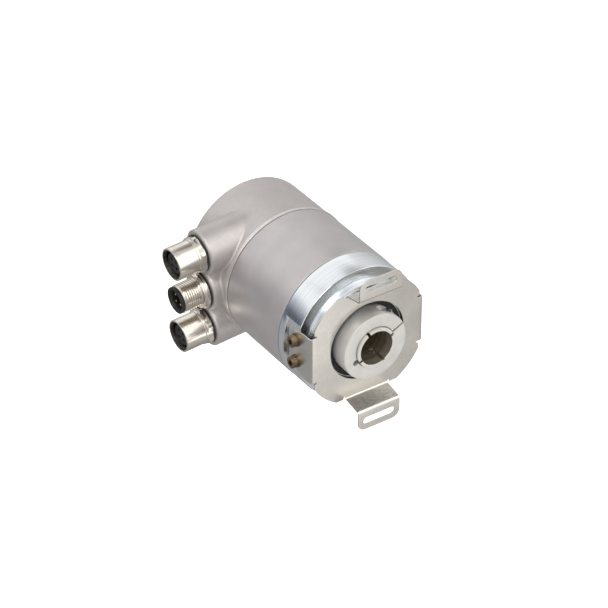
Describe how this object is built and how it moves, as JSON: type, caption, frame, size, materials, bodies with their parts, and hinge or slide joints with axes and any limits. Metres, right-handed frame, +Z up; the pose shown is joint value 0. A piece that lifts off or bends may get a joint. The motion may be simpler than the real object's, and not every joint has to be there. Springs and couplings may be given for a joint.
{
  "type": "rotary encoder",
  "caption": "Round hollow-shaft rotary encoder with slit clamp ring, slotted spring mounting plate and a side wing of round screw-on connectors.",
  "frame": {"origin": "on the shaft axis, at the front face of the clamp ring, where the driven shaft enters", "axes": "+Y along the shaft axis from the clamp ring towards the bus cover, +Z up along the line of the two slotted tabs, -X towards the side where the connectors point"},
  "size_m": [0.0768, 0.0949, 0.071],
  "materials": {
    "diecast": "satin die-cast, fine sand texture",
    "anodised": "satin anodised tube",
    "turned": "bright turned",
    "spring": "matt rolled spring sheet",
    "stainless": "turned stainless",
    "nickel": "nickel-plated brass",
    "zinc": "yellow passivated zinc",
    "steel": "ground bearing steel",
    "black_plastic": "moulded",
    "rubber": "matt",
    "gold": "gold-plated",
    "glass": "clear with a fine track",
    "board": "solder-masked laminate",
    "pale_resin": "moulded"
  },
  "bodies": {
    "housing": {"bus_cover": "diecast", "body_sleeve": "anodised", "flange": "turned", "stator_coupling": "spring", "upper_connector_shell": "nickel", "middle_connector_shell": "nickel", "lower_connector_shell": "nickel", "lower_standoff_1": "nickel", "lower_standoff_2": "nickel", "lower_standoff_3": "nickel", "upper_standoff_1": "nickel", "upper_standoff_2": "nickel", "upper_standoff_3": "nickel", "coupling_screw_1": "zinc", "coupling_screw_2": "zinc", "coupling_screw_3": "zinc", "coupling_screw_4": "zinc", "carrier_screw_1": "zinc", "carrier_screw_2": "zinc", "carrier_screw_3": "zinc", "cover_screw_1": "zinc", "cover_screw_2": "zinc", "cover_screw_3": "zinc", "front_bearing_outer": "steel", "rear_bearing_outer": "steel", "bearing_spacer": "steel", "bearing_retaining_ring": "steel", "gear_carrier": "black_plastic", "sensor_carrier": "black_plastic", "light_source": "black_plastic", "board_link": "black_plastic", "upper_connector_insert": "black_plastic", "middle_connector_insert": "black_plastic", "lower_connector_insert": "black_plastic", "cover_o_ring": "rubber", "flange_o_ring": "rubber", "shaft_seal": "rubber", "upper_connector_seal": "rubber", "middle_connector_seal": "rubber", "lower_connector_seal": "rubber", "contact_pin_1": "gold", "contact_pin_2": "gold", "contact_pin_3": "gold", "contact_pin_4": "gold", "opto_board": "board", "interface_board": "board"},
    "shaft": {"hollow_shaft": "stainless", "clamp_ring": "stainless", "clamp_screw": "steel", "front_bearing_inner": "steel", "rear_bearing_inner": "steel", "shaft_snap_ring": "steel", "disc_hub": "stainless", "code_disc": "glass", "shaft_pinion": "pale_resin"},
    "front_cage": {"front_ball_cage": "steel"},
    "rear_cage": {"rear_ball_cage": "steel"},
    "wheel_1": {"revolution_wheel_1": "pale_resin"},
    "wheel_2": {"revolution_wheel_2": "pale_resin"},
    "wheel_3": {"revolution_wheel_3": "pale_resin"}
  },
  "joints": [
    {"name": "shaft_turn", "type": "hinge", "parent": "housing", "child": "shaft", "pos_m": [0, 0, 0], "axis": [0, 1, 0], "continuous": true},
    {"name": "front_cage_turn", "type": "hinge", "parent": "housing", "child": "front_cage", "pos_m": [0, 0.0169, 0], "axis": [0, 1, 0], "continuous": true},
    {"name": "rear_cage_turn", "type": "hinge", "parent": "housing", "child": "rear_cage", "pos_m": [0, 0.0301, 0], "axis": [0, 1, 0], "continuous": true},
    {"name": "wheel_1_turn", "type": "hinge", "parent": "housing", "child": "wheel_1", "pos_m": [0.0066, 0.051, 0.01143], "axis": [0, 1, 0], "continuous": true},
    {"name": "wheel_2_turn", "type": "hinge", "parent": "housing", "child": "wheel_2", "pos_m": [-0.00345, 0.053, 0.00966], "axis": [0, 1, 0], "continuous": true},
    {"name": "wheel_3_turn", "type": "hinge", "parent": "housing", "child": "wheel_3", "pos_m": [-0.00693, 0.0547, 0.00007], "axis": [0, 1, 0], "continuous": true}
  ],
  "couplings": [
    {"joint": "front_cage_turn", "follows": "shaft_turn", "ratio": 0.42337},
    {"joint": "rear_cage_turn", "follows": "shaft_turn", "ratio": 0.42337},
    {"joint": "wheel_1_turn", "follows": "shaft_turn", "ratio": -0.83333},
    {"joint": "wheel_2_turn", "follows": "shaft_turn", "ratio": 0.34722},
    {"joint": "wheel_3_turn", "follows": "shaft_turn", "ratio": -0.14468}
  ]
}
